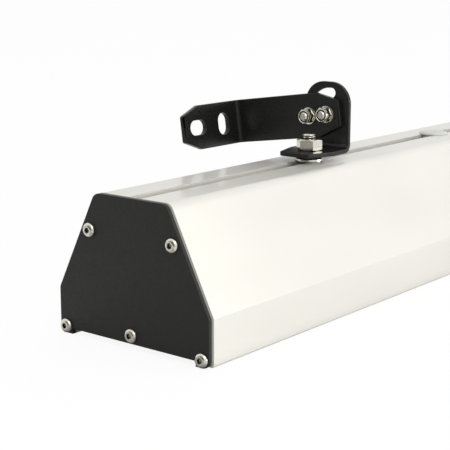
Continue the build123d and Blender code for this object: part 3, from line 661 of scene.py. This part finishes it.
def gland_body_shape():
    """Body of the gland: thread through the plate, hexagon flange, and the neck round its
    seal."""
    def profile(angle):
        side = hexagon_radius(GLAND_FLATS, angle)
        crown, drop = turned_off(GLAND_FLATS, angle, 0.96)
        neck = [(7.3, 15.6), (7.7, 16.0), (9.5, 16.0), (9.5, 5.0)]
        flange = [(crown, 5.0), (side, 5.0 - drop), (side, drop), (crown, 0.0)]
        outside = thread(20.0, 1.5, -0.1, -8.5, angle, 44, 0.9)
        return neck + flange + outside + [(6.5, -8.5), (6.5, 5.0), (7.3, 5.0)]

    return turned(profile, 72)


def gland_seal_shape():
    """Seal of the gland: rubber bush with a flared mouth and three rings that grip the
    cable."""
    inside = [(5.6, 21.0)]
    for height in (19.0, 15.0, 11.0):
        inside += [(4.9, height + 1.3), (4.5, height + 0.6),
                   (4.5, height - 0.6), (4.9, height - 1.3)]
    rim = inside + [(4.9, 5.0), (7.0, 5.0), (7.2, 5.2), (7.2, 20.6), (6.9, 21.0)]
    return turned(lambda angle: rim, 64)


def slot_plug_shape():
    """Plug: a flat disc with a rolled rim and a small gate mark, its cup below."""
    disc = [(0, 1.66), (0.7, 1.66), (0.9, 1.74), (6.2, 1.78), (7.6, 1.72), (8.5, 1.45),
            (9.05, 0.95), (9.22, 0.45), (9.1, 0.08), (8.9, 0), (7.5, 0)]
    cup = [(7.5, -0.5), (7.42, -1.2), (7.5, -3.6), (7.2, -4.4), (6.2, -4.5), (6.0, -4.2),
           (6.0, -0.02), (0, -0.02)]
    return turned(lambda angle: disc + cup, 72, closed=False)


def fit(piece, body, slot, *replaced):
    """The piece rides a body and stands for the solids it replaces; its slot is not used."""
    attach(piece, body)
    if replaced:
        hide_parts(*replaced)
    return piece


SOFT_BEND = 16.0  # degrees between two faces that still shade as one surface


def softened(name, node, body, width, angle=40.0, own_width=None):
    """A solid of sheet or strip with its cut edges rounded, as after deburring: those that
    bend by more than angle, by width in mm, or by what own_width gives for the edge."""
    shape = bmesh.new()
    shape.from_mesh(nodes[node].data)
    bmesh.ops.remove_doubles(shape, verts=shape.verts, dist=2e-6)
    bmesh.ops.dissolve_limit(shape, angle_limit=math.radians(1.0), verts=shape.verts,
                             edges=shape.edges)
    rounded = shape.edges.layers.float.new("bevel_weight_edge")
    widths = {edge: own_width and own_width(edge) or width for edge in shape.edges}
    widest = max(widths.values())
    for edge in shape.edges:
        bend = math.degrees(edge.calc_face_angle(0.0))
        edge.smooth = not SOFT_BEND < bend < angle
        if bend > angle:
            edge[rounded] = widths[edge] / widest
    mesh = bpy.data.meshes.new(name)
    shape.to_mesh(mesh)
    shape.free()
    mesh.materials.append(finishes[slot_of[node]])
    mesh.shade_smooth()
    piece = bpy.data.objects.new(name, mesh)
    bpy.context.scene.collection.objects.link(piece)
    rounding = piece.modifiers.new("rounded_edges", "BEVEL")
    rounding.width = widest * MM
    rounding.segments = 2
    rounding.limit_method = "WEIGHT"
    rounding.use_clamp_overlap = True
    flat_faces = piece.modifiers.new("flat_faces", "WEIGHTED_NORMAL")
    flat_faces.mode = "FACE_AREA"
    flat_faces.weight = 100
    flat_faces.keep_sharp = True
    return fit(piece, body, slot_of[node], node)


def at(x, y, z):
    """Place at these mm."""
    return Matrix.Translation((x * MM, y * MM, z * MM))


def facing(x, y, z, side):
    """Place whose Z points along +X or -X, as the model's fasteners are laid."""
    return at(x, y, z) @ Matrix(((0, 0, side), (1, 0, 0), (0, side, 0))).to_4x4()


def rotated(degrees, axis="Z"):
    return Matrix.Rotation(math.radians(degrees), 4, axis)


# ---------------------------------------------------------------- sheet metal and plates

SLOT_ROOM = 6.0  # both lips of the slot lie within this distance of the middle


def lip_width(edge):
    """The slot's two lips are rounded further than the other edges."""
    on_lip = all(abs(v.co.z / MM - TOP) < 0.05 and abs(v.co.y / MM) < SLOT_ROOM
                 for v in edge.verts)
    return 0.5 if on_lip else None


housing = softened("deburred_housing", "housing_extrusion", "light", 0.25, 30.0, lip_width)
# The feet's outer edges, rounded by 0.5 mm on the solid, show 1.2 mm high in the photo
solid_radius, shown_radius = 0.5, 1.2
for corner in housing.data.vertices:
    inset, height = SIDE - abs(corner.co.y) / MM, corner.co.z / MM
    if max(inset, height) < solid_radius + 0.01:
        inset *= shown_radius / solid_radius
        height *= shown_radius / solid_radius
        corner.co.y = math.copysign((SIDE - inset) * MM, corner.co.y)
        corner.co.z = height * MM
for end in ("front", "rear"):
    softened(f"coated_end_plate_{end}", f"end_plate_{end}", "light", 0.35)
    softened(f"coated_swivel_bracket_{end}", f"swivel_bracket_{end}", f"swivel_{end}", 0.35)
    softened(f"coated_arm_{end}", f"arm_{end}", f"tilt_{end}", 0.4)

# ---------------------------------------------------------------- end screws and gland

steel = finishes["stainless_steel"]
nylon = finishes["black_nylon"]
# Each screw's place across and up the plate, and how far its socket is turned
end_screws = [(27.5, 57.0, 12.0), (-27.5, 57.0, 41.0), (45.6, 4.0, 25.0), (-45.6, 4.0, 3.0),
              (0.0, 7.2, 50.0)]
for end, side in (("front", -1), ("rear", 1)):
    screws = []
    for across, up, turn in end_screws:
        screw = button_screw_shape(diameter=4.0, pitch=0.7, length=15.9, head=7.6,
                                   head_height=2.2, socket=2.8, depth=1.6)
        place = facing(side * HALF, across, up, side) @ rotated(turn + 17.0 * side)
        screws.append(moved(screw, place))
    piece = shape_object(f"button_head_screws_{end}", joined(screws), steel, smooth=32)
    fit(piece, "light", "stainless_steel", f"end_screws_{end}")

at_gland = facing(HALF, 0, GLAND, 1)
piece = shape_object("ribbed_gland_cap", moved(gland_cap_shape(), at_gland), nylon, smooth=25)
fit(piece, "light", "black_nylon", "gland_cap")
piece = shape_object("threaded_gland_body", moved(gland_body_shape(), at_gland), nylon, smooth=25)
fit(piece, "light", "black_nylon", "gland_body")
piece = shape_object("ringed_gland_seal", moved(gland_seal_shape(), at_gland),
                     finishes["black_rubber"])
fit(piece, "light", "black_rubber", "gland_seal")
piece = shape_object("moulded_slot_plug", moved(slot_plug_shape(), at(0, 0, TOP)),
                     finishes["grey_plug"], smooth=40)
fit(piece, "light", "grey_plug", "slot_plug")

# ---------------------------------------------------------------- LED chips and their screws

for hand, side in (("left", 1), ("right", -1)):
    frames, fillings = [], []
    for end in (-1, 1):
        for index in range(CHIPS):
            x = end * BOARD_MIDDLE + (index - (CHIPS - 1) / 2) * BOARD_LENGTH / CHIPS
            spot = at(x, side * BOARD_ACROSS, BOARD)
            frames.append(moved(chip_frame_shape(), spot))
            fillings.append(moved(chip_phosphor_shape(), spot))
    piece = shape_object(f"chip_frames_{hand}", joined(frames), chip_moulding)
    fit(piece, "light", "white_board")
    piece = shape_object(f"chip_phosphor_{hand}", joined(fillings), finishes["led_phosphor"])
    fit(piece, "light", "led_phosphor", f"led_chips_{hand}")
screws = []
for side in (1, -1):
    for end in (-1, 1):
        # Two screws to a board, in opposite corners: shares of its length and width
        for along, across in ((0.02, -0.3), (0.98, 0.3)):
            x = end * BOARD_MIDDLE + (along - 0.5) * BOARD_LENGTH
            y = side * (BOARD_ACROSS + across * BOARD_WIDTH)
            screw = pan_screw_shape(diameter=3.0, pitch=0.5, length=3.7, head=5.5, head_height=1.6)
            turn = 31.0 * len(screws)
            screws.append(moved(screw, at(x, y, BOARD) @ rotated(180.0, "X") @ rotated(turn)))
piece = shape_object("cross_recess_board_screws", joined(screws), steel, smooth=32)
fit(piece, "light", "stainless_steel", "board_screws")

# ---------------------------------------------------------------- bolts, nuts and washers

HEAD, NUT = 20.5, 13.0  # where the cross bolts' heads and nuts sit, from the clamp bolt
turned_over = at(LEG, 0, 0) @ rotated(180.0, "Y") @ at(-LEG, 0, 0)
for end, side, hand in (("front", -1, Matrix()), ("rear", 1, turned_over)):
    on_slot = at(side * CLAMP, 0, TOP)
    carriage = f"carriage_{end}"

    bolt = bolt_shape(diameter=8.0, pitch=1.25, flats=13.0, head_height=5.3, length=20.0)
    piece = shape_object(f"threaded_clamp_bolt_{end}", moved(bolt, on_slot @ at(0, 0, -LIP)),
                         steel, smooth=30)
    fit(piece, carriage, "stainless_steel", f"clamp_bolt_{end}")
    nut = nut_shape(diameter=8.0, flats=13.0, height=6.5)
    nut_place = on_slot @ at(0, 0, CLAMP_NUT) @ rotated(-9.0)
    piece = shape_object(f"chamfered_clamp_nut_{end}", moved(nut, nut_place), steel, smooth=25)
    fit(piece, carriage, "stainless_steel", f"clamp_nut_{end}")
    for name, thickness, base in (("lower", 1.6, 0.0), ("upper", 1.0, 2.6)):
        washer = washer_shape(outer=16.0, bore=8.4, thickness=thickness)
        piece = shape_object(f"punched_{name}_washer_{end}",
                             moved(washer, on_slot @ at(0, 0, base)), steel, smooth=25)
        fit(piece, carriage, "stainless_steel", f"{name}_washer_{end}")
    washer = friction_washer_shape(outer=14.4, bore=8.4, thickness=1.0)
    piece = shape_object(f"moulded_friction_washer_{end}",
                         moved(washer, on_slot @ at(0, 0, 1.6)), nylon, smooth=25)
    fit(piece, carriage, "black_nylon", f"friction_washer_{end}")

    pivot = on_slot @ at(0, PIVOT_ACROSS, PIVOT)
    tilt = pivot @ rotated(-ARM_REST, "X")
    for name, place, out, body in (("pivot", pivot, 0.0, f"swivel_{end}"),
                                   ("lock", tilt, LOCK, f"tilt_{end}")):
        def laid(shape, x):
            return moved(shape, place @ hand @ facing(x, out, 0, -1))

        bolt = bolt_shape(diameter=5.0, pitch=0.8, flats=8.0, head_height=3.5, length=13.0,
                          segments=36)
        piece = shape_object(f"threaded_{name}_bolt_{end}", laid(bolt, HEAD), steel, smooth=30)
        fit(piece, body, "stainless_steel", f"{name}_bolt_{end}")
        nut = lock_nut_shape(diameter=5.0, flats=8.0, height=5.0, collar=1.4)
        piece = shape_object(f"collared_{name}_nut_{end}", laid(nut, NUT), steel, smooth=25)
        fit(piece, body, "stainless_steel", f"{name}_nut_{end}")
        ring = nylon_ring_shape(diameter=5.0, height=5.0, collar=1.4)
        fit(shape_object(f"nylon_ring_{name}_{end}", laid(ring, NUT), nylon), body, "black_nylon")
        washers = [laid(washer_shape(outer=10.0, bore=5.4, thickness=1.0), x)
                   for x in (HEAD, NUT + 1.0)]
        piece = shape_object(f"punched_{name}_washers_{end}", joined(washers), steel, smooth=25)
        fit(piece, body, "stainless_steel", f"{name}_washers_{end}")

# ---------------------------------------------------------------- floor, light and camera

# Strengths of white: 1 shows white
UNLIT_WHITE = 0.15  # the unlit end of the room, ahead of the front plate
PAPER_WHITE = 0.88  # the paper as shiny pieces see it
WALL_WHITE = 0.87  # the far wall as the flat top sees it
AIR_WHITE = 0.88  # what falls on the light from all round


def white_paper():
    """Matt white paper that shows white to the eye, nearly so to shiny pieces, and keeps a
    soft shadow."""
    finish = new_finish("white_paper")
    place = add(finish, "ShaderNodeTexCoord").outputs["Object"]
    fibre = add(finish, "ShaderNodeTexNoise", {"Vector": place, "Scale": per_metre(3.0),
                                               "Detail": 2.0})
    rough = add(finish, "ShaderNodeBump", {"Height": fibre, "Distance": 0.05 * MM,
                                           "Strength": 0.2})
    paper = add(finish, "ShaderNodeBsdfPrincipled", {
        "Base Color": linear("#F7F7F6"), "Roughness": 0.9, "Specular IOR Level": 0.1,
        "Normal": rough})
    path = add(finish, "ShaderNodeLightPath")
    shown = add(finish, "ShaderNodeMath", {
        0: path.outputs["Is Camera Ray"], 1: path.outputs["Is Transmission Ray"]},
        operation="MAXIMUM")
    along = add(finish, "ShaderNodeSeparateXYZ", {"Vector": place}).outputs["X"]
    # Shiny pieces see the paper fade out ahead of the plate, where the room is unlit. Ranges
    # along and across the light are in metres
    open_paper = add(finish, "ShaderNodeMapRange", {
        "Value": along, "From Min": -0.85, "From Max": -0.5, "To Min": UNLIT_WHITE,
        "To Max": PAPER_WHITE})
    # They see a painted shadow in its glow: nearly black right below the light, and half lit ahead
    # of both plates
    away = add(finish, "ShaderNodeVectorMath", {0: place}, operation="ABSOLUTE")
    away = add(finish, "ShaderNodeSeparateXYZ", {"Vector": away})
    shadow = add(finish, "ShaderNodeMapRange", {
        "Value": away.outputs["X"], "From Min": 0.29, "From Max": 0.3, "To Min": 0.05,
        "To Max": 0.5})
    clear = add(finish, "ShaderNodeMapRange", {
        "Value": away.outputs["Y"], "From Min": 0.048, "From Max": 0.058, "To Min": shadow,
        "To Max": 1.0})
    lit = add(finish, "ShaderNodeMath", {0: open_paper, 1: clear}, operation="MULTIPLY")
    mirrored = add(finish, "ShaderNodeMath", {0: path.outputs["Is Glossy Ray"], 1: lit},
                   operation="MULTIPLY")
    strength = add(finish, "ShaderNodeMath", {0: shown, 1: mirrored}, operation="MAXIMUM")
    glow = add(finish, "ShaderNodeEmission", {"Color": linear("#FFFFFF"), "Strength": strength})
    seen = add(finish, "ShaderNodeMath", {0: shown, 1: path.outputs["Is Glossy Ray"]},
               operation="MAXIMUM")
    amount = add(finish, "ShaderNodeMath", {0: seen, 1: 0.9}, operation="MULTIPLY")
    mix = add(finish, "ShaderNodeMixShader", {0: amount, 1: paper, 2: glow})
    add(finish, "ShaderNodeOutputMaterial", {"Surface": mix})
    return finish


floor_shape = bmesh.new()
bmesh.ops.create_grid(floor_shape, x_segments=2, y_segments=2, size=15.0)
floor = shape_object("paper_floor", floor_shape, white_paper())
floor.location.z = -0.2 * MM  # just clear of the feet

world = bpy.data.worlds.new("white_studio")
bpy.context.scene.world = world
world.use_nodes = True
world.node_tree.nodes.clear()
outward = add(world, "ShaderNodeTexCoord").outputs["Generated"]
# Shiny pieces see white walls all round and the unlit end of the room
ahead_of_plate = add(world, "ShaderNodeVectorMath", {0: outward, 1: (-1.0, 0.05, 0.0)},
                     operation="DOT_PRODUCT").outputs["Value"]
unlit_end = add(world, "ShaderNodeMapRange", {
    "Value": ahead_of_plate, "From Min": 0.62, "From Max": 0.9, "To Min": 1.0,
    "To Max": UNLIT_WHITE})
# The far wall, which the flat top mirrors, is a little greyer
behind_light = add(world, "ShaderNodeVectorMath", {0: outward, 1: (0.76, 0.62, 0.2)},
                   operation="DOT_PRODUCT").outputs["Value"]
far_wall = add(world, "ShaderNodeMapRange", {
    "Value": behind_light, "From Min": 0.8, "From Max": 0.95, "To Min": 1.0,
    "To Max": WALL_WHITE})
walls = add(world, "ShaderNodeMath", {0: unlit_end, 1: far_wall}, operation="MULTIPLY")
air = add(world, "ShaderNodeBackground", {"Color": linear("#FFFFFF"), "Strength": AIR_WHITE})
mirrored_walls = add(world, "ShaderNodeBackground", {
    "Color": linear("#FFFFFF"), "Strength": walls})
seen_walls = add(world, "ShaderNodeBackground", {"Color": linear("#FFFFFF"), "Strength": 1.0})
path = add(world, "ShaderNodeLightPath")
lit = add(world, "ShaderNodeMixShader", {
    0: path.outputs["Is Glossy Ray"], 1: air, 2: mirrored_walls})
seen = add(world, "ShaderNodeMath", {
    0: path.outputs["Is Camera Ray"], 1: path.outputs["Is Transmission Ray"]},
    operation="MAXIMUM")
mix = add(world, "ShaderNodeMixShader", {0: seen, 1: lit, 2: seen_walls})
add(world, "ShaderNodeOutputWorld", {"Surface": mix})


def softbox(name, place, aim, size, watts):
    """A rectangular lamp at a place in metres, turned to what it aims at."""
    light = bpy.data.lights.new(name, "AREA")
    light.shape = "RECTANGLE"
    light.size, light.size_y = size
    light.energy = watts
    lamp = bpy.data.objects.new(name, light)
    lamp.location = place
    lamp.rotation_euler = (Vector(aim) - Vector(place)).to_track_quat("-Z", "Y").to_euler()
    bpy.context.scene.collection.objects.link(lamp)


# Two low strips light the side towards them, and the high softbox the slope and the top
softbox("side_strip", place=(1.524, -1.279, 0.259), aim=(0.0, 0.0, 0.05), size=(1.2, 0.5),
        watts=0.6)
softbox("front_strip", place=(0.934, -1.756, 0.259), aim=(0.0, 0.0, 0.05), size=(1.0, 0.5),
        watts=9.5)
softbox("high_softbox", place=(-0.6, -1.1, 1.3), aim=(-0.1, 0.0, 0.05), size=(1.2, 1.2),
        watts=9.0)

# The camera was solved from the photo's vanishing points and the end plate's outline
PIXEL = 1 / 450  # of the picture's width
view = bpy.data.cameras.new("photo_view")
view.lens = 98.513
view.sensor_width = 36.0
view.shift_x = -0.5 * PIXEL
view.shift_y = 0.5 * PIXEL
view.clip_start = 0.01
view.clip_end = 100.0
camera = bpy.data.objects.new("photo_view", view)
right = Vector((0.63040, -0.77627, 0.0)).normalized()
ahead = Vector((0.75876, 0.61619, -0.21115)).normalized()
up = right.cross(ahead)
stand = Matrix.Translation((-0.7155, -0.4038, 0.1889))
camera.matrix_world = stand @ Matrix((right, up, -ahead)).transposed().to_4x4()
bpy.context.scene.collection.objects.link(camera)
bpy.context.scene.camera = camera
bpy.context.scene.view_settings.view_transform = "Standard"
